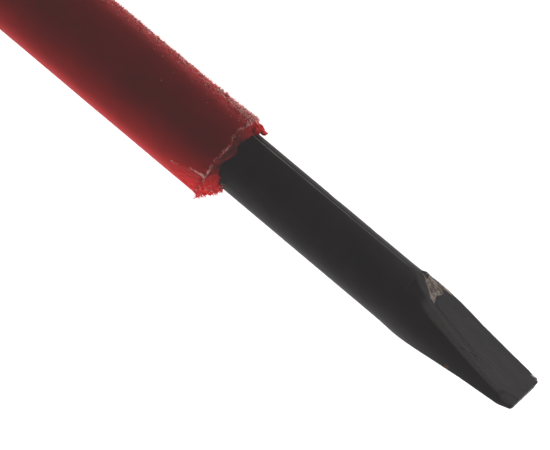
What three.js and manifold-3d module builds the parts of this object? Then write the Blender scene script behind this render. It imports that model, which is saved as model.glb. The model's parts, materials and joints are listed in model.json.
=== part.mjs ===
// Slim insulated slotted screwdriver for electrical fitting work: a 3 mm round blade ground to a 0.5 x 3.0 mm tip, a red insulating
// sleeve on the blade, a two-shot handle (hard core, soft guard, fingertip grip and inlays) and a free-turning palm cap on its end.
// Millimetres. The tool's axis is X, with the tip at x = 0 pointing along +X and the handle on the -X side. +Z is up, and the tool
// lies on one flat of its six-sided handle.
import * as THREE from 'three';
import { mergeVertices } from 'three/addons/utils/BufferGeometryUtils.js';
import Module from 'manifold-3d';

const wasm = await Module();
wasm.setup();

// ---- driving dimensions, mm ----
const TIP_THICKNESS = 0.5; // ISO 2380 size 0.5 x 3.0
const SHAFT_RADIUS = 1.5;
const FLAT_LENGTH = 6.9; // along the axis, from the tip to where the ground flats run out on the round shaft
const FLAT_TILT = 60; // degrees from +Z towards +Y: the flats are square to two opposite sides of the handle
const BLADE_REAR = -124;
const WING_FRONT = -96, WING_REAR = -109, WING_HALF_WIDTH = 2.5, WING_THICKNESS = 1.4;

const SLEEVE_FRONT = -17.7; // bare blade; an insulated blade may show at most 18 mm
const SLEEVE_REAR = -93;
const SLEEVE_RADIUS = 2.2;
const SLEEVE_OFFSET = -0.25; // the sleeve's outside sits off the blade's axis, along Y
const SLEEVE_BORE = 1.54;

const HANDLE_FRONT = -80, HANDLE_REAR = -165;
const BODY_APOTHEM = 7.0; // half the distance across flats of the hard core
const BODY_CORNER = 0.37; // corner radius as a share of the apothem; 1 is round
const SOFT_PROUD = 0.15; // the soft inlays and the guard stand this far out of the flats, and the tool rests on them
const GUARD_FRONT = -84, GUARD_REAR = -88.5, GUARD_SEAT = 4.4;
const TIP_GRIP_FRONT = -91, TIP_GRIP_REAR = -107, TIP_GRIP_SEAT = 3.9, TIP_GRIP_RADIUS = 4.85;
const INLAY_FRONT = -119, INLAY_REAR = -153, INLAY_WIDTH = 4.8, INLAY_FLOOR = 5.85;

const PIN_RADIUS = 1.0, PIN_FRONT = -155, PIN_HEAD_FRONT = -170.6, PIN_HEAD_RADIUS = 2.0, PIN_REAR = -171.7;
const CAP_FRONT = -165.75, CAP_REAR = -174.5, CAP_RADIUS = 6.4, CAP_BORE = 2.24;
const CAP_RECESS_FLOOR = -170.05, CAP_RECESS_RADIUS = 3.2, INSERT_SEAT = -172.6, INSERT_BORE = 4.65;
const FIT = 0.04; // gap between pieces that were moulded or pressed together

const FINE = 72, MEDIUM = 32;

// ---- helpers ----

// Distance from the centre to the side of a rounded hexagon of apothem 1 and corner radius q, at phi from the middle of a flat.
function hexReach(phi, q) {
  const sector = Math.PI / 3, half = sector / 2;
  let t = ((phi % sector) + sector) % sector;
  t = Math.min(t, sector - t);
  if (Math.tan(t) <= (1 - q) * Math.tan(half)) return 1 / Math.cos(t);
  const d = (1 - q) / Math.cos(half), u = half - t;
  return d * Math.cos(u) + Math.sqrt(q * q - (d * Math.sin(u)) ** 2);
}

// A piece turned about the tool's axis. Each profile point is [x, radius, q]: with q below 1 that ring is a rounded hexagon whose
// apothem is the radius.
function turned(profile, segments = FINE) {
  const g = new THREE.LatheGeometry(profile.map(([x, r]) => new THREE.Vector2(r, x)), segments);
  const p = g.attributes.position;
  for (let k = 0; k < p.count; k++) {
    const q = profile[k % profile.length][2] ?? 1;
    if (q >= 1) continue;
    const f = hexReach(Math.atan2(p.getX(k), p.getZ(k)), q);
    p.setX(k, p.getX(k) * f);
    p.setZ(k, p.getZ(k) * f);
  }
  return g.rotateZ(-Math.PI / 2);
}

function ring(front, rear, inner, outer, segments = MEDIUM) {
  return turned([[front, inner], [front, outer], [rear, outer], [rear, inner], [front, inner]], segments);
}

function rod(front, rear, radius, segments = MEDIUM) {
  return turned([[front, 0], [front, radius], [rear, radius], [rear, 0]], segments);
}

// A closed geometry as a solid for joining and cutting, whichever way round its faces were made.
function solid(geometry) {
  const g = geometry.index ? geometry.toNonIndexed() : geometry.clone();
  const bare = new THREE.BufferGeometry().setAttribute('position', g.getAttribute('position'));
  const merged = mergeVertices(bare, 1e-4);
  const index = merged.index.array, v = merged.attributes.position.array, kept = [];
  let volume = 0;
  for (let i = 0; i < index.length; i += 3) {
    const [a, b, c] = [index[i], index[i + 1], index[i + 2]];
    if (a === b || b === c || c === a) continue;
    kept.push(a, b, c);
    const [ax, ay, az, bx, by, bz, cx, cy, cz] = [a, b, c].flatMap((n) => [v[3 * n], v[3 * n + 1], v[3 * n + 2]]);
    volume += ax * (by * cz - bz * cy) - ay * (bx * cz - bz * cx) + az * (bx * cy - by * cx);
  }
  if (volume < 0) for (let i = 0; i < kept.length; i += 3) [kept[i + 1], kept[i + 2]] = [kept[i + 2], kept[i + 1]];
  return new wasm.Manifold(new wasm.Mesh({ numProp: 3, vertProperties: v, triVerts: new Uint32Array(kept) }));
}

function geometryOf(made) {
  const m = made.getMesh(), n = m.numProp, v = new Float32Array(m.numVert * 3);
  for (let i = 0; i < m.numVert; i++) v.set(m.vertProperties.subarray(i * n, i * n + 3), i * 3);
  const g = new THREE.BufferGeometry().setAttribute('position', new THREE.BufferAttribute(v, 3));
  g.setIndex(new THREE.BufferAttribute(new Uint32Array(m.triVerts), 1));
  g.computeVertexNormals();
  return g;
}

const part = new THREE.Group();

function add(name, made, colour, roughness, metalness) {
  const material = new THREE.MeshStandardMaterial({ color: colour, roughness, metalness });
  const mesh = new THREE.Mesh(geometryOf(made), material);
  mesh.name = name;
  part.add(mesh);
  return mesh;
}

// ---- blade ----
const rad = THREE.MathUtils.degToRad;
const slope = (SHAFT_RADIUS - TIP_THICKNESS / 2) / FLAT_LENGTH;
const over = 2;
// The waste beyond one ground flat, drawn with x along the axis and y along the flat's normal, then extruded across the blade.
const waste = new THREE.Shape([
  new THREE.Vector2(over, TIP_THICKNESS / 2 - slope * over),
  new THREE.Vector2(over, 4),
  new THREE.Vector2(-FLAT_LENGTH - over, 4),
  new THREE.Vector2(-FLAT_LENGTH - over, SHAFT_RADIUS + slope * over),
]);
const wasteSide = (turn) =>
  solid(new THREE.ExtrudeGeometry(waste, { depth: 8, bevelEnabled: false }).translate(0, 0, -4).rotateX(rad(turn)));
const wing = new THREE.Shape([
  new THREE.Vector2(WING_FRONT, 0),
  new THREE.Vector2(WING_FRONT - 1.6, WING_HALF_WIDTH),
  new THREE.Vector2(WING_REAR + 1.6, WING_HALF_WIDTH),
  new THREE.Vector2(WING_REAR, 0),
  new THREE.Vector2(WING_REAR + 1.6, -WING_HALF_WIDTH),
  new THREE.Vector2(WING_FRONT - 1.6, -WING_HALF_WIDTH),
]);
const wingSolid = (grow) => {
  const t = WING_THICKNESS + 2 * grow;
  const g = new THREE.ExtrudeGeometry(wing, { depth: t, bevelEnabled: false }).translate(0, 0, -t / 2);
  if (grow) {
    const mid = (WING_FRONT + WING_REAR) / 2;
    g.translate(-mid, 0, 0).scale(1 + grow / 4, 1 + grow / WING_HALF_WIDTH, 1).translate(mid, 0, 0);
  }
  return solid(g.rotateX(rad(90 - FLAT_TILT)));
};
const blade = solid(
  turned([[0, 0], [0, SHAFT_RADIUS], [BLADE_REAR + 0.6, SHAFT_RADIUS], [BLADE_REAR, SHAFT_RADIUS - 0.6], [BLADE_REAR, 0]], MEDIUM),
)
  .subtract(wasteSide(90 - FLAT_TILT))
  .subtract(wasteSide(270 - FLAT_TILT))
  .add(wingSolid(0));
add('blade', blade, 0x2d2b2c, 0.5, 0.7);

// ---- insulating sleeve ----
const sleeveOuter = turned(
  [[SLEEVE_FRONT, 0], [SLEEVE_FRONT, SLEEVE_RADIUS - 0.15], [SLEEVE_FRONT - 0.3, SLEEVE_RADIUS], [SLEEVE_REAR, SLEEVE_RADIUS], [SLEEVE_REAR, 0]],
  MEDIUM,
).translate(0, SLEEVE_OFFSET, 0);
const sleeve = solid(sleeveOuter).subtract(solid(rod(SLEEVE_FRONT + 1, SLEEVE_REAR - 1, SLEEVE_BORE)));
add('blade_sleeve', sleeve, 0x8c1518, 0.45, 0);

// ---- handle: hard core ----
let core = solid(turned([
  [HANDLE_FRONT, 0], [HANDLE_FRONT, 3.2], [HANDLE_FRONT - 0.6, 3.7], [-83.4, 5.2], [GUARD_FRONT, 5.4],
  [GUARD_FRONT, GUARD_SEAT], [GUARD_REAR, GUARD_SEAT], [GUARD_REAR, 5.4], [-89.5, 5.0], [TIP_GRIP_FRONT, 4.75],
  [TIP_GRIP_FRONT, TIP_GRIP_SEAT], [TIP_GRIP_REAR, TIP_GRIP_SEAT], [TIP_GRIP_REAR, 4.95],
  [-110, 5.5, 0.9], [-113.5, 6.5, 0.65], [-118, BODY_APOTHEM, BODY_CORNER],
  [-154, BODY_APOTHEM, BODY_CORNER], [-158.5, 6.6, 0.6], [-163, 5.8], [HANDLE_REAR + 0.5, 5.7],
  [HANDLE_REAR, 5.2], [HANDLE_REAR, 0],
]));
core = core
  .subtract(solid(rod(HANDLE_FRONT + 1, SLEEVE_REAR - 0.3, SLEEVE_RADIUS + FIT).translate(0, SLEEVE_OFFSET, 0)))
  .subtract(solid(rod(HANDLE_FRONT + 1, BLADE_REAR - 0.3, SHAFT_RADIUS + FIT)))
  .subtract(wingSolid(FIT))
  .subtract(solid(rod(PIN_FRONT + 0.2, HANDLE_REAR - 1, PIN_RADIUS + FIT)));

// A soft inlay's outline on one flat: a slot shape, along x, grown by the fit for the pocket it sits in.
function inlay(turn, grow, floor, top) {
  const r = INLAY_WIDTH / 2 + grow, front = INLAY_FRONT - INLAY_WIDTH / 2, rear = INLAY_REAR + INLAY_WIDTH / 2;
  const s = new THREE.Shape();
  s.absarc(front, 0, r, -Math.PI / 2, Math.PI / 2, false);
  s.absarc(rear, 0, r, Math.PI / 2, (3 * Math.PI) / 2, false);
  const g = new THREE.ExtrudeGeometry(s, { depth: top - floor, bevelEnabled: false, curveSegments: 10 });
  return solid(g.translate(0, 0, floor).rotateX(rad(turn)));
}
for (let k = 0; k < 6; k++) core = core.subtract(inlay(60 * k, FIT, INLAY_FLOOR, BODY_APOTHEM + 2));
add('handle_core', core, 0xa3161a, 0.35, 0);

// ---- handle: soft second shot ----
const soft = 0x1d1d1e;
const proud = BODY_APOTHEM + SOFT_PROUD;
const [guardFront, guardRear] = [GUARD_FRONT - FIT, GUARD_REAR + FIT];
add('finger_guard', solid(turned([
  [guardFront, GUARD_SEAT + FIT], [guardFront, 5.45], [-84.6, 6.5, 0.6], [-85.3, proud, 0.42], [-87.1, proud, 0.42],
  [-87.9, 6.4, 0.6], [guardRear, 5.45], [guardRear, GUARD_SEAT + FIT], [guardFront, GUARD_SEAT + FIT],
])), soft, 0.75, 0);

const gripProfile = [[TIP_GRIP_FRONT - FIT, TIP_GRIP_SEAT + FIT], [TIP_GRIP_FRONT - FIT, 4.65], [-91.5, TIP_GRIP_RADIUS]];
const GROOVES = 5, PITCH = 2.5, FIRST_GROOVE = -93.4;
for (let k = 0; k < GROOVES; k++) {
  const x = FIRST_GROOVE - k * PITCH;
  gripProfile.push([x, TIP_GRIP_RADIUS], [x - 0.25, TIP_GRIP_RADIUS - 0.3], [x - 0.65, TIP_GRIP_RADIUS - 0.3], [x - 0.9, TIP_GRIP_RADIUS]);
}
gripProfile.push([-106.5, TIP_GRIP_RADIUS], [TIP_GRIP_REAR + FIT, 4.7], [TIP_GRIP_REAR + FIT, TIP_GRIP_SEAT + FIT], gripProfile[0]);
add('fingertip_grip', solid(turned(gripProfile, 24)), soft, 0.75, 0);

for (let k = 0; k < 6; k++) add('grip_inlay_' + (k + 1), inlay(60 * k, 0, INLAY_FLOOR + FIT, proud), soft, 0.75, 0);

// ---- palm cap and its pivot ----
add('cap_pivot_pin', solid(turned([
  [PIN_FRONT, 0], [PIN_FRONT, PIN_RADIUS - 0.2], [PIN_FRONT - 0.3, PIN_RADIUS], [PIN_HEAD_FRONT, PIN_RADIUS],
  [PIN_HEAD_FRONT, PIN_HEAD_RADIUS], [PIN_REAR + 0.3, PIN_HEAD_RADIUS], [PIN_REAR, PIN_HEAD_RADIUS - 0.4], [PIN_REAR, 0],
], MEDIUM)), 0xb8bcc0, 0.3, 1);
add('thrust_washer', solid(ring(HANDLE_REAR - 0.1, HANDLE_REAR - 0.6, PIN_RADIUS + 0.05, 3.6)), 0xe9e4d6, 0.5, 0);
add('pin_head_washer', solid(ring(-170.1, PIN_HEAD_FRONT + 0.08, PIN_RADIUS + 0.05, 2.8)), 0xb8bcc0, 0.3, 1);
add('cap_bush', solid(ring(-165.9, -170.0, PIN_RADIUS + 0.06, CAP_BORE - FIT)), 0xc9a14a, 0.35, 1);
add('swivel_cap', solid(turned([
  [CAP_FRONT, CAP_BORE], [CAP_FRONT, 5.6], [-166.2, 6.1], [-167, CAP_RADIUS], [-171.6, CAP_RADIUS], [-173.2, 6.15], [-174.2, 5.5],
  [CAP_REAR, 5.0], [CAP_REAR, INSERT_BORE], [INSERT_SEAT, INSERT_BORE], [INSERT_SEAT, CAP_RECESS_RADIUS],
  [CAP_RECESS_FLOOR, CAP_RECESS_RADIUS], [CAP_RECESS_FLOOR, CAP_BORE], [CAP_FRONT, CAP_BORE],
], 36)), 0x1d1d1e, 0.5, 0);
add('cap_insert', solid(turned([
  [INSERT_SEAT - 0.1, 0], [INSERT_SEAT - 0.1, INSERT_BORE - 0.1], [-174.3, INSERT_BORE - 0.1], [-174.6, 4.2], [-174.35, 3],
  [-174.15, 1.5], [-174.1, 0],
], 36)), 0xa3161a, 0.4, 0);

export default part;
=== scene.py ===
import bpy, bmesh, json, math
import numpy as np
from mathutils import Vector, Matrix

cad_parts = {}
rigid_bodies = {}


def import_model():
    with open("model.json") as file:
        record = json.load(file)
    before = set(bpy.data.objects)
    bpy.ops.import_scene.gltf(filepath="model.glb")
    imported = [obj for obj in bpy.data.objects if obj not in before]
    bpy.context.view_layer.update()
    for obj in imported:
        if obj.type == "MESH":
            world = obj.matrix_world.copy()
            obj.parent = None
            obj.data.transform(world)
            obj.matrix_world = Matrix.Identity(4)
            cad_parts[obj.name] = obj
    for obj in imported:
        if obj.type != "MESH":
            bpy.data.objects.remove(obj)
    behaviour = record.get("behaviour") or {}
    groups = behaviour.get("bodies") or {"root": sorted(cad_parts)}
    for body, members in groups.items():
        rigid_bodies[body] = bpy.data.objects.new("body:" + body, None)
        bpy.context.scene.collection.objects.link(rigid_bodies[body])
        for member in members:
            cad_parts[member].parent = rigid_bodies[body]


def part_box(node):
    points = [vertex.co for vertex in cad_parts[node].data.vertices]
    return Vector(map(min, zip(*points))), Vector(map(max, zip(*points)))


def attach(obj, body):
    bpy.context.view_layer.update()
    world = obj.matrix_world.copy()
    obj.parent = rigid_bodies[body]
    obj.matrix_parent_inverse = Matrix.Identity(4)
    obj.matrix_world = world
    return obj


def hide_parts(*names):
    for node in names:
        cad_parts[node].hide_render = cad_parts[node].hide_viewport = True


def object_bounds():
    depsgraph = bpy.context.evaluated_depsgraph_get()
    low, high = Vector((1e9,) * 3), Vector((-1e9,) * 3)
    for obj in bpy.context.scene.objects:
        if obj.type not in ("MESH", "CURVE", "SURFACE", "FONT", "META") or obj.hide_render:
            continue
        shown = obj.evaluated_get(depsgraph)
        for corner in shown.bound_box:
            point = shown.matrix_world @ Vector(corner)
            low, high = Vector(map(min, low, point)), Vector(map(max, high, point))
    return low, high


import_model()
CAD_BOX = [list(c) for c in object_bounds()]
MM = 0.001
DRIVER, CAP = "driver", "palm_cap"

# All numbers below are millimetres in the part's own frame, and are scaled once when a mesh is made.
# Positions that belong to the CAD come from the nodes' boxes.
def node_box(name):
    lo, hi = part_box(name)
    return np.array(lo) * 1000.0, np.array(hi) * 1000.0

SLEEVE_FRONT = node_box("blade_sleeve")[1][0]      # -17.7
SLEEVE_REAR = node_box("blade_sleeve")[0][0]       # -93
BLADE_REAR = node_box("blade")[0][0]               # -124
CORE_REAR, CORE_FRONT = node_box("handle_core")[0][0], node_box("handle_core")[1][0]
GUARD_REAR, GUARD_FRONT = node_box("finger_guard")[0][0], node_box("finger_guard")[1][0]
GRIP_REAR, GRIP_FRONT = node_box("fingertip_grip")[0][0], node_box("fingertip_grip")[1][0]
INLAY_REAR, INLAY_FRONT = node_box("grip_inlay_1")[0][0], node_box("grip_inlay_1")[1][0]
FLOOR_Z = CAD_BOX[0][2] * 1000.0
R = 1.5                                            # shaft
FLAT = math.radians(60.0)                          # the flats' normal, from +Z towards +Y

# ------------------------------------------------------------------ noise
def _hash(i, j, k, seed):
    n = (i.astype(np.int64) * 374761393 + j.astype(np.int64) * 668265263 + k.astype(np.int64) * 2147483647 + seed * 1274126177) & 0xFFFFFFFF
    n = (n ^ (n >> 13)) * 1274126177 & 0xFFFFFFFF
    n = (n ^ (n >> 16)) & 0xFFFFFF
    return n / float(0xFFFFFF) * 2.0 - 1.0

def noise(x, y, z, size, seed=0):
    """Smooth value noise from -1 to 1, with features about size across."""
    x, y, z = x / size, y / size, z / size
    i, j, k = np.floor(x), np.floor(y), np.floor(z)
    fx, fy, fz = x - i, y - j, z - k
    fx, fy, fz = (t * t * (3 - 2 * t) for t in (fx, fy, fz))
    out = 0.0
    for a in (0, 1):
        for b in (0, 1):
            for c in (0, 1):
                w = (fx if a else 1 - fx) * (fy if b else 1 - fy) * (fz if c else 1 - fz)
                out = out + w * _hash(i + a, j + b, k + c, seed)
    return out

def fractal(x, y, z, size, octaves=3, seed=0):
    out, amp, total = 0.0, 1.0, 0.0
    for o in range(octaves):
        out = out + amp * noise(x, y, z, size / 2 ** o, seed + 17 * o)
        total += amp
        amp *= 0.5
    return out / total

def smooth(e0, e1, v):
    t = np.clip((v - e0) / (e1 - e0), 0, 1)
    return t * t * (3 - 2 * t)

def smax(a, b, k):
    h = np.clip(0.5 + 0.5 * (a - b) / k, 0, 1)
    return b + (a - b) * h + k * h * (1 - h)

def smin(a, b, k):
    return -smax(-a, -b, k)

# ------------------------------------------------------------------ meshes
def make_object(name, verts, faces, smooth_faces=True, attributes=None):
    mesh = bpy.data.meshes.new(name)
    mesh.from_pydata([tuple(v) for v in (np.asarray(verts) * MM).tolist()], [], [tuple(f) for f in faces])
    mesh.validate(clean_customdata=False)
    mesh.update()
    if smooth_faces:
        mesh.polygons.foreach_set("use_smooth", [True] * len(mesh.polygons))
    for key, values in (attributes or {}).items():
        a = mesh.attributes.new(key, "FLOAT", "POINT")
        a.data.foreach_set("value", np.asarray(values, dtype=np.float32))
    o = bpy.data.objects.new(name, mesh)
    bpy.context.scene.collection.objects.link(o)
    return o

def surface(fn, X, Y, Z, steps=2):
    """The zero surface of fn(x, y, z) on a grid whose spacing may vary, as vertices and quads that face out."""
    gx, gy, gz = np.meshgrid(X, Y, Z, indexing="ij")
    f = fn(gx.ravel(), gy.ravel(), gz.ravel()).reshape(gx.shape)
    inside = f < 0
    n = f.shape
    axes = (X, Y, Z)
    cells, points, quads = [], [], []
    for ax in range(3):
        u, v = (ax + 1) % 3, (ax + 2) % 3
        a = np.take(inside, range(0, n[ax] - 1), axis=ax)
        b = np.take(inside, range(1, n[ax]), axis=ax)
        I = np.argwhere(a != b)
        I = I[(I[:, u] > 0) & (I[:, v] > 0) & (I[:, u] < n[u] - 1) & (I[:, v] < n[v] - 1)]
        J = I.copy()
        J[:, ax] += 1
        f0, f1 = f[tuple(I.T)], f[tuple(J.T)]
        t = f0 / (f0 - f1)
        P = np.stack([axes[c][I[:, c]] for c in range(3)], 1)
        P[:, ax] += t * (axes[ax][J[:, ax]] - axes[ax][I[:, ax]])
        ring = []
        for du, dv in ((0, 0), (-1, 0), (-1, -1), (0, -1)):
            C = I.copy()
            C[:, u] += du
            C[:, v] += dv
            ids = (C[:, 0] * (n[1] - 1) + C[:, 1]) * (n[2] - 1) + C[:, 2]
            ring.append(ids)
            cells.append(ids)
            points.append(P)
        q = np.stack(ring, 1)
        flip = f0 >= 0
        q[flip] = q[flip][:, ::-1]
        quads.append(q)
    cells, points, quads = np.concatenate(cells), np.concatenate(points), np.concatenate(quads)
    used, index = np.unique(cells, return_inverse=True)
    count = np.bincount(index)
    verts = np.stack([np.bincount(index, points[:, c]) / count for c in range(3)], 1)
    quads = np.searchsorted(used, quads)
    # pull the points onto the surface
    for _ in range(steps):
        e = 0.004
        x, y, z = verts.T
        d = fn(x, y, z)
        g = np.stack([
            fn(x + e, y, z) - fn(x - e, y, z), fn(x, y + e, z) - fn(x, y - e, z), fn(x, y, z + e) - fn(x, y, z - e)], 1) / (2 * e)
        size = np.maximum((g ** 2).sum(1), 0.15)
        move = -(d / size)[:, None] * g
        length = np.linalg.norm(move, axis=1, keepdims=True)
        verts = verts + move * np.minimum(1, 0.02 / np.maximum(length, 1e-9))
    return verts, quads

def hex_reach(phi, q):
    """Reach of a rounded hexagon of apothem 1 and corner radius q, at phi from the middle of a flat."""
    sector, half = math.pi / 3, math.pi / 6
    t = np.mod(phi, sector)
    t = np.minimum(t, sector - t)
    flat = np.tan(t) <= (1 - q) * math.tan(half)
    d = (1 - q) / math.cos(half)
    u = half - t
    arc = d * np.cos(u) + np.sqrt(np.maximum(q * q - (d * np.sin(u)) ** 2, 0))
    return np.where(flat, 1 / np.cos(t), np.where(q >= 1, 1.0, arc))

def smooth_profile(points, step, corner=0.0):
    """A profile with its corners rounded off by repeated corner cutting, then points added so none is further apart than step."""
    p = np.array(points, float)
    if corner:
        for _ in range(3):
            out = [p[0]]
            for a, b, c in zip(p[:-2], p[1:-1], p[2:]):
                la, lc = np.linalg.norm((b - a)[:2]), np.linalg.norm((c - b)[:2])
                ra, rc = min(corner, la * 0.45), min(corner, lc * 0.45)
                out += [b - (b - a) * (ra / max(la, 1e-9)), b + (c - b) * (rc / max(lc, 1e-9))]
            out.append(p[-1])
            p = np.array(out)
            corner *= 0.33
    out = [p[0]]
    for a, b in zip(p[:-1], p[1:]):
        n = max(1, int(math.ceil(np.linalg.norm((b - a)[:2]) / step)))
        out += [a + (b - a) * (k / n) for k in range(1, n + 1)]
    return np.array(out)

def lathe(name, profile, segments=192, step=0.35, corner=0.12, closed=False, shape=None, centre=(0, 0), attributes=False):
    """A piece turned about the tool's axis. A profile point is (x, radius) or (x, radius, q); closed joins the last point to the first, and
    otherwise both ends lie on the axis. shape(x, phi, r) may change each radius. phi runs from +Z towards +Y."""
    pts = [tuple(p) + ((1.0,) if len(p) == 2 else ()) for p in profile]
    if closed:
        pts = pts + [pts[0]]
        # start in the middle of the first side, so the first corner is rounded too
        mid = tuple((a + b) / 2 for a, b in zip(pts[0], pts[1]))
        pts = [mid] + pts[1:] + [mid]
    prof = smooth_profile(pts, step, corner)
    if closed:
        prof = prof[:-1]
    phi = np.linspace(0, 2 * math.pi, segments, endpoint=False)
    body = prof if closed else prof[1:-1]
    rings = len(body)
    xs = np.repeat(body[:, 0][:, None], segments, 1)
    rs = np.repeat(body[:, 1][:, None], segments, 1)
    qs = np.repeat(body[:, 2][:, None], segments, 1)
    ph = np.repeat(phi[None, :], rings, 0)
    rs = rs * hex_reach(ph, qs)
    if shape is not None:
        xs, rs = shape(xs, ph, rs)
    v = np.stack([xs, rs * np.sin(ph) + centre[0], rs * np.cos(ph) + centre[1]], -1).reshape(-1, 3)
    faces = []
    last = rings if closed else rings - 1
    idx = np.arange(rings * segments).reshape(rings, segments)
    for i in range(last):
        a, b = idx[i], idx[(i + 1) % rings]
        faces += np.stack([a, np.roll(a, -1), np.roll(b, -1), b], 1).tolist()
    verts = v
    if not closed:
        ends = np.array([[prof[0][0], centre[0], centre[1]], [prof[-1][0], centre[0], centre[1]]])
        verts = np.concatenate([v, ends])
        n = rings * segments
        a, b = idx[0], idx[-1]
        faces += [(n, int(a[(k + 1) % segments]), int(a[k])) for k in range(segments)]
        faces += [(n + 1, int(b[k]), int(b[(k + 1) % segments])) for k in range(segments)]
    o = make_object(name, verts, faces)
    fix_normals(o)
    return o

def fix_normals(o):
    bm = bmesh.new()
    bm.from_mesh(o.data)
    bmesh.ops.recalc_face_normals(bm, faces=bm.faces)
    if bm.calc_volume(signed=True) < 0:
        bmesh.ops.reverse_faces(bm, faces=bm.faces)
    bm.to_mesh(o.data)
    bm.free()

def apply_modifiers(o):
    dg = bpy.context.evaluated_depsgraph_get()
    dg.update()
    mesh = bpy.data.meshes.new_from_object(o.evaluated_get(dg), preserve_all_data_layers=True, depsgraph=dg)
    old = o.data
    o.modifiers.clear()
    o.data = mesh
    bpy.data.meshes.remove(old)

def cut(o, cutter):
    m = o.modifiers.new("cut", "BOOLEAN")
    m.operation = "DIFFERENCE"
    m.solver = "EXACT"
    m.object = cutter
    apply_modifiers(o)
    bpy.data.objects.remove(cutter)

def smooth_by_angle(o, degrees=35):
    me = o.data
    me.polygons.foreach_set("use_smooth", [True] * len(me.polygons))
    bm = bmesh.new()
    bm.from_mesh(me)
    limit = math.radians(degrees)
    for e in bm.edges:
        e.smooth = not (len(e.link_faces) == 2 and e.calc_face_angle(0) > limit)
    bm.to_mesh(me)
    bm.free()

# ------------------------------------------------------------------ materials
class Nodes:
    def __init__(self, name):
        self.mat = bpy.data.materials.new(name)
        self.mat.use_nodes = True
        self.t = self.mat.node_tree
        self.t.nodes.clear()
        self.out = self.t.nodes.new("ShaderNodeOutputMaterial")
        self.bsdf = self.t.nodes.new("ShaderNodeBsdfPrincipled")
        self.link(self.bsdf.outputs[0], self.out.inputs["Surface"])
        self.coord = self.t.nodes.new("ShaderNodeTexCoord")

    def link(self, a, b):
        self.t.links.new(a, b)

    def put(self, socket, value):
        if isinstance(value, bpy.types.NodeSocket):
            self.link(value, socket)
        else:
            socket.default_value = value

    def mapping(self, scale=(1, 1, 1), rotation=(0, 0, 0), location=(0, 0, 0)):
        m = self.t.nodes.new("ShaderNodeMapping")
        self.link(self.coord.outputs["Object"], m.inputs["Vector"])
        m.inputs["Scale"].default_value = scale
        m.inputs["Rotation"].default_value = rotation
        m.inputs["Location"].default_value = location
        return m.outputs[0]

    def noise(self, size_mm, detail=3.0, roughness=0.55, distortion=0.0, stretch=(1, 1, 1), seed=0.0):
        n = self.t.nodes.new("ShaderNodeTexNoise")
        k = 1000.0 / size_mm
        self.link(self.mapping((k * stretch[0], k * stretch[1], k * stretch[2]), location=(seed, seed * 1.7, seed * 0.6)), n.inputs["Vector"])
        n.inputs["Scale"].default_value = 1.0
        n.inputs["Detail"].default_value = detail
        n.inputs["Roughness"].default_value = roughness
        n.inputs["Distortion"].default_value = distortion
        return n.outputs["Fac"]

    def voronoi(self, size_mm, feature="F1", stretch=(1, 1, 1), seed=0.0):
        n = self.t.nodes.new("ShaderNodeTexVoronoi")
        k = 1000.0 / size_mm
        self.link(self.mapping((k * stretch[0], k * stretch[1], k * stretch[2]), location=(seed, seed * 1.3, seed * 0.4)), n.inputs["Vector"])
        n.feature = feature
        n.inputs["Scale"].default_value = 1.0
        return n.outputs["Distance"]

    def ramp(self, fac, stops):
        n = self.t.nodes.new("ShaderNodeValToRGB")
        self.put(n.inputs[0], fac)
        e = n.color_ramp.elements
        while len(e) < len(stops):
            e.new(0.5)
        for k, (at, c) in enumerate(stops):
            e[k].position = at
            e[k].color = (c, c, c, 1) if isinstance(c, (int, float)) else (*c, 1)
        return n.outputs[0]

    def math(self, op, a, b=0.0, clamp=False):
        n = self.t.nodes.new("ShaderNodeMath")
        n.operation = op
        n.use_clamp = clamp
        self.put(n.inputs[0], a)
        self.put(n.inputs[1], b)
        return n.outputs[0]

    def span(self, v, a, b, c, d):
        n = self.t.nodes.new("ShaderNodeMapRange")
        n.interpolation_type = "SMOOTHSTEP"
        self.put(n.inputs[0], v)
        for k, x in enumerate((a, b, c, d)):
            n.inputs[1 + k].default_value = x
        return n.outputs[0]

    def mix(self, fac, a, b):
        n = self.t.nodes.new("ShaderNodeMix")
        n.data_type = "RGBA"
        self.put(n.inputs["Factor"], fac)
        for sock, val in ((n.inputs["A"], a), (n.inputs["B"], b)) if False else ((n.inputs[6], a), (n.inputs[7], b)):
            self.put(sock, (*val, 1) if isinstance(val, tuple) and len(val) == 3 else val)
        return n.outputs[2]

    def attribute(self, name):
        n = self.t.nodes.new("ShaderNodeAttribute")
        n.attribute_name = name
        return n.outputs["Fac"]

    def axis(self, which):
        n = self.t.nodes.new("ShaderNodeSeparateXYZ")
        self.link(self.coord.outputs["Object"], n.inputs[0])
        return n.outputs[which]

    def bump(self, height, distance_mm, strength=1.0, normal=None):
        n = self.t.nodes.new("ShaderNodeBump")
        n.inputs["Strength"].default_value = strength
        n.inputs["Distance"].default_value = distance_mm * MM
        self.put(n.inputs["Height"], height)
        if normal is not None:
            self.link(normal, n.inputs["Normal"])
        return n.outputs[0]

    def set(self, **kw):
        for k, v in kw.items():
            self.put(self.bsdf.inputs[k.replace("_", " ")], (*v, 1) if isinstance(v, tuple) and len(v) == 3 and "Color" in k else v)
        return self.mat

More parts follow.
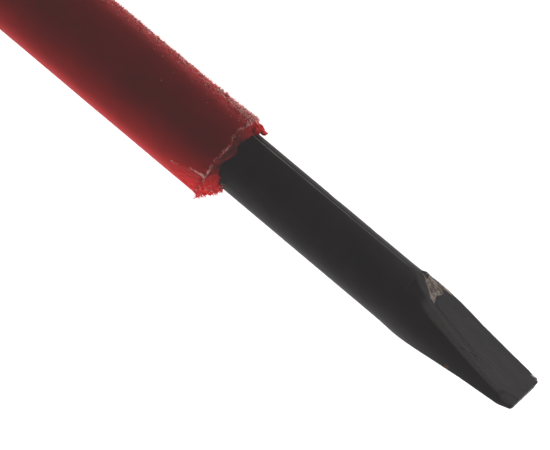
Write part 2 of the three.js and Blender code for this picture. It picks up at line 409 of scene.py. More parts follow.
def blade_material():
    n = Nodes("black_finished_steel")
    grain = n.noise(0.09, 4, 0.6, seed=3)
    cloud = n.noise(1.6, 4, 0.6, 0.4, seed=9)
    streak = n.noise(0.16, 3, 0.6, stretch=(0.035, 1, 1), seed=5)
    wear = n.attribute("wear")
    rust = n.attribute("rust")
    bare = n.attribute("bare")
    black = n.mix(n.span(cloud, 0.35, 0.68, 0, 1), (0.026, 0.0242, 0.0248), (0.038, 0.0345, 0.034))
    black = n.mix(n.span(streak, 0.52, 0.8, 0, 0.5), black, (0.052, 0.048, 0.046))
    # partly painted highlight: the ridge along the bevel and the tip's worn corner drawn lighter, as worn edges and as
    # the light band these ridges catch
    black = n.mix(n.math("MULTIPLY", n.attribute("ridge_wear_and_highlight"), n.span(grain, 0.25, 0.6, 0.55, 1.0)), black, (0.125, 0.117, 0.114))
    brown = n.mix(n.span(n.noise(0.24, 4, 0.65, seed=21), 0.36, 0.62, 0, 1), (0.13, 0.080, 0.056), (0.46, 0.38, 0.33))
    colour = n.mix(n.span(n.math("ADD", wear, n.math("MULTIPLY", n.math("SUBTRACT", grain, 0.5), 0.5)), 0.42, 0.6, 0, 1), black, brown)
    rustc = n.mix(n.noise(0.12, 3, 0.6, seed=31), (0.09, 0.035, 0.014), (0.25, 0.12, 0.06))
    colour = n.mix(n.span(n.math("ADD", rust, n.math("MULTIPLY", n.math("SUBTRACT", grain, 0.5), 0.7)), 0.45, 0.75, 0, 0.85), colour, rustc)
    barem = n.span(n.math("ADD", bare, n.math("MULTIPLY", n.math("SUBTRACT", grain, 0.5), 0.8)), 0.45, 0.62, 0, 1)
    colour = n.mix(barem, colour, (0.33, 0.32, 0.31))
    # painted highlight: a fine light line along the bar, standing in for the reflection of a narrow light strip,
    # brightest by the sleeve
    sep = n.t.nodes.new("ShaderNodeSeparateXYZ")
    n.link(n.coord.outputs["Object"], sep.inputs[0])
    dy = n.math("SUBTRACT", sep.outputs[1], 1.322 * MM)
    dz = n.math("SUBTRACT", sep.outputs[2], 0.708 * MM)
    away = n.math("SQRT", n.math("ADD", n.math("MULTIPLY", dy, dy), n.math("MULTIPLY", dz, dz)))
    line = n.math("MULTIPLY", n.span(away, 0.022 * MM, 0.052 * MM, 1, 0), n.span(sep.outputs[0], -17.6 * MM, -9.0 * MM, 1.0, 0.28))
    line = n.math("MULTIPLY", line, n.span(sep.outputs[0], -8.4 * MM, -7.6 * MM, 1, 0))
    line = n.math("MULTIPLY", line, n.span(n.noise(1.1, 3, 0.6, stretch=(1, 0.2, 0.2), seed=77), 0.3, 0.6, 0.45, 1))
    colour = n.mix(line, colour, (0.58, 0.57, 0.56))
    rough = n.math("ADD", n.math("MULTIPLY", grain, 0.18), n.math("MULTIPLY", cloud, 0.12))
    rough = n.math("ADD", rough, 0.32)
    h = n.math("ADD", n.math("MULTIPLY", grain, 0.5), n.math("MULTIPLY", streak, 0.6))
    h = n.math("ADD", h, n.math("MULTIPLY", n.noise(0.03, 2, 0.5, seed=40), 0.35))
    metal = n.math("MULTIPLY", barem, 0.8)
    return n.set(Base_Color=colour, Roughness=rough, Metallic=metal, IOR=1.14, Normal=n.bump(h, 0.006, 0.55))

def sleeve_material():
    n = Nodes("red_insulation")
    cloud = n.noise(2.2, 4, 0.6, 0.3, seed=2)
    fine = n.noise(0.11, 4, 0.62, seed=6)
    scuff = n.noise(0.2, 3, 0.6, stretch=(0.08, 1, 1), seed=8)
    # pale where the skin is broken; the pale line along the tear and the pale fibres near the end are partly a painted
    # highlight
    broken_skin_and_highlight = n.attribute("broken_skin_and_highlight")
    red = n.mix(n.span(cloud, 0.3, 0.7, 0, 1), (0.45, 0.0100, 0.0115), (0.55, 0.0135, 0.015))
    dirt = n.span(n.noise(0.7, 5, 0.65, 0.6, seed=14), 0.56, 0.72, 0, 0.3)
    red = n.mix(dirt, red, (0.24, 0.026, 0.025))
    # painted light: a brighter, more saturated red along the silhouette sides, the torn end, the tear and many frayed
    # fibres, standing in for light glowing through the plastic
    red = n.mix(n.math("MULTIPLY", n.attribute("painted_glow"), 0.9), red, (0.86, 0.016, 0.020))
    # painted shade: the upper part of the torn end face drawn dark; some frayed fibres on the -Y edge are drawn dark
    # too
    red = n.mix(n.attribute("dark"), red, (0.055, 0.018, 0.017))
    pale = n.mix(fine, (0.85, 0.18, 0.16), (0.97, 0.70, 0.66))
    speck = n.noise(0.06, 2, 0.5, seed=61)
    pale_share = n.math("ADD", broken_skin_and_highlight, n.math("MULTIPLY", n.math("SUBTRACT", fine, 0.5), 0.5))
    pale_share = n.math("ADD", pale_share, n.math("MULTIPLY", n.math("SUBTRACT", speck, 0.5), n.span(broken_skin_and_highlight, 0.05, 0.5, 0, 1.3)))
    colour = n.mix(n.span(pale_share, 0.5, 0.85, 0, 0.95), red, pale)
    rough = n.math("ADD", n.math("MULTIPLY", fine, 0.2), n.math("ADD", n.math("MULTIPLY", broken_skin_and_highlight, 0.2), 0.36))
    h = n.math("ADD", n.math("MULTIPLY", fine, 0.5), n.math("MULTIPLY", scuff, 0.7))
    n.bsdf.inputs["Subsurface Weight"].default_value = 0.4
    n.bsdf.inputs["Subsurface Radius"].default_value = (1.0, 0.10, 0.08)
    n.bsdf.inputs["Subsurface Scale"].default_value = 0.9 * MM
    return n.set(Base_Color=colour, Roughness=rough, IOR=1.09, Normal=n.bump(h, 0.008, 0.6))

def hard_plastic(name, dark, light, roughness=0.3, seed=0.0, sub=0.0):
    n = Nodes(name)
    cloud = n.noise(9.0, 3, 0.5, 0.3, seed=seed)
    fine = n.noise(0.16, 3, 0.6, seed=seed + 4)
    scratch = n.noise(0.35, 2, 0.6, stretch=(0.06, 1, 1), seed=seed + 7)
    colour = n.mix(n.span(cloud, 0.3, 0.7, 0, 1), dark, light)
    colour = n.mix(n.span(scratch, 0.62, 0.8, 0, 0.25), colour, tuple(min(1.0, c * 1.7 + 0.02) for c in light))
    rough = n.math("ADD", n.math("MULTIPLY", fine, 0.16), n.math("ADD", n.math("MULTIPLY", n.span(scratch, 0.55, 0.8, 0, 1), 0.12), roughness))
    h = n.math("ADD", n.math("MULTIPLY", fine, 0.7), n.math("MULTIPLY", scratch, 0.5))
    if sub:
        n.bsdf.inputs["Subsurface Weight"].default_value = sub
        n.bsdf.inputs["Subsurface Radius"].default_value = (1.0, 0.12, 0.1)
        n.bsdf.inputs["Subsurface Scale"].default_value = 1.2 * MM
    return n.set(Base_Color=colour, Roughness=rough, IOR=1.46, Normal=n.bump(h, 0.012, 0.5))

def soft_rubber(name="soft_elastomer", seed=0.0):
    n = Nodes(name)
    fine = n.noise(0.22, 4, 0.65, seed=seed + 1)
    pores = n.voronoi(0.34, seed=seed + 2)
    cloud = n.noise(5.0, 4, 0.6, 0.5, seed=seed + 3)
    colour = n.mix(n.span(cloud, 0.32, 0.7, 0, 1), (0.0135, 0.0135, 0.0142), (0.026, 0.0255, 0.026))
    dust = n.span(n.noise(0.5, 5, 0.7, seed=seed + 9), 0.6, 0.78, 0, 0.35)
    colour = n.mix(dust, colour, (0.075, 0.072, 0.068))
    rough = n.math("ADD", n.math("MULTIPLY", fine, 0.2), 0.6)
    h = n.math("ADD", n.math("MULTIPLY", fine, 0.5), n.math("MULTIPLY", pores, 0.8))
    n.bsdf.inputs["Sheen Weight"].default_value = 0.12
    n.bsdf.inputs["Sheen Roughness"].default_value = 0.5
    return n.set(Base_Color=colour, Roughness=rough, IOR=1.45, Normal=n.bump(h, 0.03, 0.6))

def turned_metal(name, dark, light, roughness=0.25, seed=0.0):
    n = Nodes(name)
    lines = n.noise(0.05, 2, 0.5, stretch=(1, 0.06, 0.06), seed=seed)
    cloud = n.noise(1.5, 3, 0.5, seed=seed + 2)
    colour = n.mix(n.span(cloud, 0.3, 0.7, 0, 1), dark, light)
    rough = n.math("ADD", n.math("MULTIPLY", lines, 0.2), roughness)
    n.bsdf.inputs["Metallic"].default_value = 1.0
    return n.set(Base_Color=colour, Roughness=rough, Normal=n.bump(lines, 0.004, 0.5))

def assign(o, mat):
    o.data.materials.clear()
    o.data.materials.append(mat)

# ------------------------------------------------------------------ blade
HX = np.array([-8.6, -7.4, -6.14, -5.06, -4.01, -2.93, -1.96, -0.90, 0.0, 0.6])
HF = np.array([1.74, 1.52, 1.281, 1.088, 0.905, 0.721, 0.579, 0.455, 0.375, 0.34])
HB = np.array([1.78, 1.52, 1.225, 0.935, 0.671, 0.455, 0.326, 0.202, 0.12, 0.08])
_gx = np.linspace(HX[0], HX[-1], 500)
_k = np.hanning(61); _k /= _k.sum()
def _soft(table):
    t = np.interp(_gx, HX, table)
    pad = np.concatenate([2 * t[0] - t[30:0:-1], t, 2 * t[-1] - t[-2:-32:-1]])
    return np.convolve(pad, _k, mode="valid")
_HF, _HB = _soft(HF), _soft(HB)
BEVEL = 0.075                                      # worn bevel along the facing flat's long edge
SWELL_X = [-7.9, -7.3, -6.9, -6.5, -6.1, -5.0, -4.4, -3.6, 0.0]
SWELL = [0.0, 0.012, 0.055, 0.100, 0.125, 0.130, 0.110, 0.055, 0.050]
SWELL_P = [0.0, 0.005, 0.020, 0.040, 0.052, 0.050, 0.052, 0.062, 0.072]

def blade_coords(x, y, z):
    v = y * math.sin(FLAT) + z * math.cos(FLAT)
    w = -y * math.cos(FLAT) + z * math.sin(FLAT)
    return v, w

# the worn patch at the top of the facing flat, as an outline in (x, w)
PATCH = np.array([(-7.20, -0.41), (-6.76, -0.72), (-6.45, -0.98), (-6.00, -1.10), (-5.45, -1.06), (-5.72, -0.90), (-5.96, -0.80), (-5.84, -0.39), (-5.97, -0.03), (-5.80, 0.54),
                  (-6.16, 0.42), (-6.55, 0.10), (-6.88, -0.25)])

def polygon_distance(px, py, pts):
    """Signed distance to a closed outline, negative inside."""
    d = np.full(px.shape, 1e9)
    inside = np.zeros(px.shape, bool)
    for (ax, ay), (bx, by) in zip(pts, np.roll(pts, -1, 0)):
        ex, ey = bx - ax, by - ay
        t = np.clip(((px - ax) * ex + (py - ay) * ey) / (ex * ex + ey * ey), 0, 1)
        d = np.minimum(d, (px - ax - t * ex) ** 2 + (py - ay - t * ey) ** 2)
        crosses = ((ay > py) != (by > py)) & (px < ex * (py - ay) / (ey if ey else 1e-12) + ax)
        inside ^= crosses
    d = np.sqrt(d)
    return np.where(inside, -d, d)

def segment_distance(px, py, a, b):
    ex, ey = b[0] - a[0], b[1] - a[1]
    t = np.clip(((px - a[0]) * ex + (py - a[1]) * ey) / (ex * ex + ey * ey), 0, 1)
    return np.hypot(px - a[0] - t * ex, py - a[1] - t * ey)

def patch_mask(x, y, z):
    v, w = blade_coords(x, y, z)
    out = np.zeros_like(x)
    m = (x > -7.6) & (x < -5.1) & (v > 0.3)
    if m.any():
        px, pw = x[m], w[m]
        n1 = fractal(px, y[m], z[m], 0.42, 3, 5) * 0.09
        d = polygon_distance(px, pw, PATCH) + n1
        out[m] = smooth(0.03, -0.05, d)
    return out

def blade_sdf(x, y, z):
    v, w = blade_coords(x, y, z)
    r = np.sqrt(y * y + z * z)
    rr = np.maximum(r, 1e-6)
    cw = w / rr
    # the sides swell where the shaft was flattened, most on the -w side
    bulge = np.where(cw < 0, np.interp(x, SWELL_X, SWELL) * smooth(0.05, -0.42, cw), np.interp(x, SWELL_X, SWELL_P) * smooth(-0.05, 0.45, cw))
    d = r - (R + bulge)
    hf = np.interp(x, _gx, _HF)
    hb = np.interp(x, _gx, _HB)
    near = (x > -8.8) & (np.abs(d) < 0.5)
    front = (v - hf) * 0.984
    back = (-v - hb) * 0.978
    kf = np.where(w > 0, 0.06, 0.10)
    kf = kf * smooth(-7.6, -6.2, x) + 0.02
    kb = 0.10 * smooth(-7.6, -6.2, x) + 0.02
    d = smax(d, front, kf)
    d = smax(d, back, kb)
    ridge = np.sqrt(np.maximum(R * R - np.minimum(hf, R) ** 2, 0))
    bevel = (0.883 * v + 0.469 * w - (0.883 * hf + 0.469 * ridge - BEVEL * smooth(-6.6, -5.2, x))) * 0.98
    d = np.where((w > 0) & (v > 0) & (x > -7.2), smax(d, bevel, 0.03), d)
    # end face, a little out of square, its corners worn: the +w corner by a short bevel, the -w corner chipped
    end = x - 0.004 + 0.012 * w
    d = smax(d, end, 0.05)
    bev = (x * 0.42 + 0.15 - v * 0.10 + (w - 1.42) * 0.90) * 0.996
    d = smax(d, bev, 0.09)
    bev2 = (x * 0.62 - (w + 1.36) * 0.78)
    d = smax(d, bev2, 0.08)
    worn = (0.35 * x + 0.78 * (v - 0.375) + 0.62 * (w - 0.95)) / 1.06
    d = smax(d, worn, 0.10)
    d = smax(d, BLADE_REAR - x, 0.3)
    # wings pressed in the hidden end
    wing = np.maximum(np.abs(w) - 0.7, np.maximum(np.abs(v) - 2.5, np.abs(x + 102.5) * 0.84 - 5.4 + np.abs(v) * 0.54))
    d = np.where(x < -90, smin(d, wing, 0.12), d)
    # fine detail only close to the surface and in the bare stretch
    m = (np.abs(d) < 0.2) & (x > -19)
    if m.any():
        X, Y, Z, V, W = x[m], y[m], z[m], v[m], w[m]
        e = d[m]
        e = e + 0.006 * fractal(X * 0.25, Y, Z, 0.45, 3, 11) + 0.0025 * noise(X, Y, Z, 0.1, 3)
        # scored line on the facing flat, beside the ridge, with a raised lip
        on = smooth(0.16, 0.02, np.abs(V - np.interp(X, _gx, _HF)))
        line = W - np.interp(X, [-5.9, -4.4, -2.6], [0.56, 0.70, 0.80]) - 0.02 * noise(X, Y * 0, Z * 0, 0.6, 4)
        run = smooth(-5.95, -5.6, X) * smooth(-2.35, -2.8, X)
        e = e + on * run * (0.024 * np.exp(-(line / 0.035) ** 2) - 0.012 * np.exp(-((line - 0.085) / 0.045) ** 2))
        for a, b, amp in (((-3.55, 1.22), (-2.72, 0.84), 0.030), ((-3.05, 1.16), (-2.62, 0.98), 0.022), ((-2.72, 0.84), (-2.45, 0.70), 0.016)):
            e = e - on * amp * np.exp(-(segment_distance(X, W, a, b) / 0.032) ** 2)
        # worn patch: flaked, shallow and rough
        p = patch_mask(X, Y, Z)
        e = e + p * (0.022 + 0.055 * np.maximum(fractal(X, Y, Z, 0.30, 3, 23), -0.35) + 0.022 * noise(X, Y, Z, 0.09, 7))
        # a flake standing at its top end, on the -w side
        fl = np.sqrt(((X + 6.98) / 0.26) ** 2 + ((Y - 1.50) / 0.11) ** 2 + ((Z - 0.10) / 0.26) ** 2) - 1
        e = smin(e, fl * 0.08 + 0.02 * noise(X, Y, Z, 0.12, 31), 0.05)
        # chipped -w corner of the tip
        c = np.sqrt(((X + 0.18) / 0.34) ** 2 + ((W + 1.46) / 0.17) ** 2)
        e = e + smooth(1.5, 0.4, c) * (0.018 + 0.055 * fractal(X, Y, Z, 0.15, 2, 41))
        # nicks along the end edge and small dents on the shaft
        e = e + smooth(-0.16, -0.02, X) * 0.022 * np.maximum(noise(X * 0, Y, Z, 0.16, 51), 0)
        dents = noise(X * 0.6, Y, Z, 0.75, 61)
        e = e + 0.012 * smooth(0.62, 0.9, dents)
        d = d.copy()
        d[m] = e
    return d

def grade(pieces):
    """Grid points along one axis from (start, end, step) stretches."""
    out = [pieces[0][0]]
    for a, b, s in pieces:
        n = max(1, int(round(abs(b - a) / s)))
        out += list(np.linspace(a, b, n + 1)[1:])
    return np.array(out)

def build_blade():
    f = 1.0
    s = 0.046 * f
    X = grade([(BLADE_REAR - 0.4, BLADE_REAR + 2.0, 0.25 * f), (BLADE_REAR + 2.0, -110, 2.0), (-110, -95, 0.4 * f), (-95, -20, 3.0), (-20, -18.2, 0.3), (-18.2, -7.6, s * 1.25), (-7.6, 0.16, s)])
    side = grade([(-2.72, -1.72, 0.12), (-1.72, 1.72, s), (1.72, 2.72, 0.12)])
    v, q = surface(blade_sdf, X, side, side)
    x, y, z = v.T
    vv, w = blade_coords(x, y, z)
    hf = np.interp(x, _gx, _HF)
    wear = patch_mask(x, y, z)
    # a lighter worn line along the flats' edges and the end
    edge = np.exp(-((np.abs(vv) - np.where(vv > 0, hf, np.interp(x, _gx, _HB))) / 0.06) ** 2) * smooth(0.35, 0.1, np.abs(np.sqrt(y * y + z * z) - R)) * (x > -7)
    ridge = np.sqrt(np.maximum(R * R - np.minimum(hf, R) ** 2, 0))
    slope = 0.883 * hf + 0.469 * ridge - BEVEL * smooth(-6.6, -5.2, x) - (0.883 * vv + 0.469 * w)
    # the ridge along the bevel and the tip's worn corner: worn edges, drawn lighter partly as a painted highlight of
    # the light band the ridge catches
    ridge_wear_and_highlight = smooth(0.035, 0.0, np.abs(slope)) * (w > 0.2) * (vv > 0) * smooth(-6.5, -5.9, x)
    ridge_wear_and_highlight = np.maximum(ridge_wear_and_highlight, smooth(0.05, 0.0, np.abs(0.35 * x + 0.78 * (vv - 0.375) + 0.62 * (w - 0.95))) * (x > -1.6) * (w > 0.3) * (vv > -0.1))
    lips = np.exp(-((np.abs(slope) - 0.05) / 0.02) ** 2) * (w > 0.2) * (vv > 0) * smooth(-6.2, -5.6, x)
    bare = 0.30 * edge * smooth(-0.2, 0.5, noise(x, y, z, 0.5, 71))
    bare = np.maximum(bare, 0.22 * lips)
    bare = np.maximum(bare, smooth(-0.07, 0.0, x) * 0.30)
    c = np.sqrt(((x + 0.2) / 0.55) ** 2 + ((w + 1.44) / 0.24) ** 2)
    bare = np.maximum(bare, smooth(1.4, 0.7, c) * (0.42 + 0.55 * noise(x, y, z, 0.10, 72)))
    flake = np.sqrt(((x + 6.98) / 0.36) ** 2 + ((y - 1.5) / 0.16) ** 2 + ((z - 0.1) / 0.4) ** 2)
    bare = np.maximum(bare, smooth(1.2, 0.6, flake) * (0.4 + 0.4 * noise(x, y, z, 0.12, 73)))
    rust = np.zeros_like(x)
    for cx, cv, rx, rv, amp in ((-3.52, -0.42, 0.22, 0.26, 0.85), (-3.95, -0.28, 0.16, 0.2, 0.7), (-4.55, -0.55, 0.3, 0.2, 0.4), (-2.9, -0.3, 0.25, 0.15, 0.35), (-1.3, -0.1, 0.4, 0.12, 0.3)):
        g = np.sqrt(((x - cx) / rx) ** 2 + ((vv - cv) / rv) ** 2)
        rust = np.maximum(rust, amp * (w > 0.4) * smooth(1.3, 0.2, g) * (0.75 + 0.4 * noise(x, y, z, 0.2, 81)))
    rust = np.maximum(rust, 0.42 * wear * smooth(0.0, 0.5, noise(x, y, z, 0.22, 83)))
    rust = rust * (x > -8)
    o = make_object("blade_steel", v, q.tolist(), True, {"wear": wear, "bare": bare, "rust": rust, "ridge_wear_and_highlight": ridge_wear_and_highlight})
    assign(o, blade_material())
    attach(o, DRIVER)
    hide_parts("blade")
    return o

# ------------------------------------------------------------------ sleeve
SLEEVE_R = 2.2
def sleeve_end(theta):
    """x of the torn end's outer edge at an angle from +Y towards +Z (0 is the +Y side, 90 the top, 180 the -Y side)."""
    d = np.degrees(np.mod(theta, 2 * math.pi))
    at = [0, 20, 40, 52, 63, 71, 90, 101, 117, 135, 150, 171, 185, 205, 230, 270, 310, 335, 360]
    xs = [-17.62, -17.50, -17.62, -17.70, -17.68, -17.50, -17.56, -17.60, -17.50, -17.52, -17.52, -17.46, -17.50, -17.62, -17.78, -17.66, -17.6, -17.5, -17.62]
    return np.interp(d, at, xs)

TEAR = (0.09, -0.798, 0.5806, 2.045)             # plane of the slanted tear: normal and offset, from (-17.5, the sleeve's centre, 0)

def sleeve_centre(x):
    return np.full_like(np.asarray(x, float), -0.262)

def sleeve_sdf(x, y, z):
    cy = sleeve_centre(x)
    yc = y - cy
    th = np.arctan2(z, yc)
    r = np.sqrt(yc ** 2 + z * z)
    rb = np.sqrt(y * y + z * z)
    ro = SLEEVE_R + np.interp(x, [-60, -34, -18.2, -17.0], [0, 0.012, 0.020, 0.020])
    outer = r - ro
    inner = 1.525 - rb
    d = smax(outer, inner, 0.02)
    xe = sleeve_end(th)
    end = x - xe
    # the torn face leans forward towards the bar, most on the two sides
    depth = ro - r
    lean = np.interp(np.degrees(np.mod(th, 2 * math.pi)), [0, 20, 55, 75, 90, 110, 145, 175, 200, 230, 270, 330, 360], [0.95, 0.90, 0.80, 0.58, 0.40, 0.30, 0.60, 0.85, 0.85, 0.5, 0.3, 0.6, 0.95])
    end = end - lean * np.clip(depth, 0, 1.0)
    d = np.maximum(smax(d, end * 0.92, 0.04), SLEEVE_REAR - x)
    # a slanted tear along the -Y side, from the skin at x -19 to the corner of the end
    tear = TEAR[0] * (x + 17.5) + TEAR[1] * yc + TEAR[2] * z - TEAR[3]
    near = (np.abs(tear) < 0.4) & (x > -20.5) & (x < -16.5)
    if near.any():
        t = tear.copy()
        t[near] = tear[near] + 0.030 * fractal(x[near] * 0.8, y[near], z[near], 0.4, 3, 131) + 0.022 * noise(x[near], y[near], z[near], 0.12, 132)
        d = smax(d, np.where(x > -20.5, t, -1.0), 0.02)
    m = (np.abs(d) < 0.45) & (x > -32)
    if m.any():
        X, Y, Z, T, XE, DD = x[m], y[m], z[m], th[m], xe[m], depth[m]
        e = d[m]
        plus = smooth(0.78, 0.98, np.cos(T))             # a narrow band at the +Y side
        minus = smooth(-0.1, 0.9, -np.cos(T))            # the -Y side
        # skin: slight orange peel everywhere, crumbly in the band on the +Y side
        out = smooth(0.35, 0.0, DD)
        e = e - out * (0.006 * fractal(X * 0.4, Y, Z, 0.8, 3, 101) + 0.002 * noise(X, Y, Z, 0.16, 102))
        rough = out * plus * (0.5 * smooth(-30, -24, X) + 0.5 * smooth(-21.5, -18.6, X)) * smooth(0.1, -0.3, X - XE)
        fuzz = smooth(0.15, 0.65, noise(X, Y, Z, 0.10, 104)) + 0.6 * smooth(0.2, 0.7, noise(X, Y, Z, 0.17, 106))
        e = e + rough * (0.035 - 0.045 * fuzz + 0.035 * smooth(0.25, 0.7, noise(X, Y, Z, 0.2, 105)))
        # a few nicks and one flap in the skin near the end
        nick = np.sqrt(((X + 18.05 - (Z - 0.7) * 0.5) / 0.22) ** 2 + ((Z - 0.70) / 0.12) ** 2)
        e = e - out * plus * 0.05 * smooth(1.3, 0.5, nick)
        nick = np.sqrt(((X + 21.9) / 0.12) ** 2 + ((Z - 1.98) / 0.2) ** 2 + ((Y - 0.65) / 0.1) ** 2)
        e = e - out * 0.03 * smooth(1.3, 0.5, nick)
        # torn face
        lump = fractal(X * 0.8, Y, Z, 0.34, 3, 111)
        fine = noise(X, Y, Z, 0.11, 112)
        face = smooth(-0.40, 0.0, X - XE)
        e = e + face * (0.055 * lump + 0.038 * fine * (0.4 + plus + 0.7 * minus))
        # nibbled bites along the edge on the -Y side
        e = e + face * minus * out * 0.09 * smooth(0.1, 0.6, noise(X * 0.5, Y, Z, 0.22, 113))
        d = d.copy()
        d[m] = e
    # shreds of skin that hang over the bar on the +Y side, and crumbs on the -Y corner
    for cx, cy_, cz, ax, ay, az, tilt in (
        (-17.25, 1.70, 0.30, 0.42, 0.12, 0.30, 0.10), (-17.02, 1.72, 0.18, 0.22, 0.09, 0.18, -0.2), (-17.5, 1.80, 0.5, 0.30, 0.10, 0.2, 0.2),
        (-17.22, 1.58, 0.78, 0.22, 0.12, 0.14, 0.0), (-17.35, 1.80, -0.2, 0.26, 0.10, 0.2, 0.0), (-17.42, -2.20, 0.40, 0.24, 0.12, 0.16, 0.1),
        (-17.22, -2.02, 0.15, 0.24, 0.12, 0.16, -0.1), (-17.05, -1.78, 0.1, 0.22, 0.12, 0.16, -0.1),
    ):
        dx, dy, dz = x - cx, y - cy_, z - cz
        near = (np.abs(dx) < 0.7) & (np.abs(dy) < 0.5) & (np.abs(dz) < 0.6)
        if near.any():
            px, py, pz = dx[near], dy[near] + tilt * dx[near] * 0.5, dz[near]
            b = (np.sqrt((px / ax) ** 2 + (py / ay) ** 2 + (pz / az) ** 2) - 1) * min(ax, ay, az)
            b = b + 0.04 * noise(x[near], y[near], z[near], 0.1, 121) + 0.02 * noise(x[near], y[near], z[near], 0.05, 122)
            b = np.maximum(b, 1.525 - np.sqrt(y[near] ** 2 + z[near] ** 2))
            d = d.copy()
            d[near] = smin(d[near], b, 0.04)
    return d

def whisker(points, radius, sides=6, taper=0.75):
    """A thin hair along points, as a closed tube."""
    p = np.array(points, float)
    verts, faces = [], []
    for i, c in enumerate(p):
        t = p[min(i + 1, len(p) - 1)] - p[max(i - 1, 0)]
        t /= np.linalg.norm(t)
        u = np.cross(t, [0, 0, 1.0]); u /= np.linalg.norm(u)
        w = np.cross(t, u)
        rad = radius * (1 - taper * i / (len(p) - 1))
        for k in range(sides):
            a = 2 * math.pi * k / sides
            verts.append(c + rad * (math.cos(a) * u + math.sin(a) * w))
    n = len(p)
    for i in range(n - 1):
        for k in range(sides):
            a, b = i * sides + k, i * sides + (k + 1) % sides
            faces.append((a, b, b + sides, a + sides))
    faces.append(tuple(range(sides))[::-1])
    faces.append(tuple((n - 1) * sides + k for k in range(sides)))
    return np.array(verts), faces

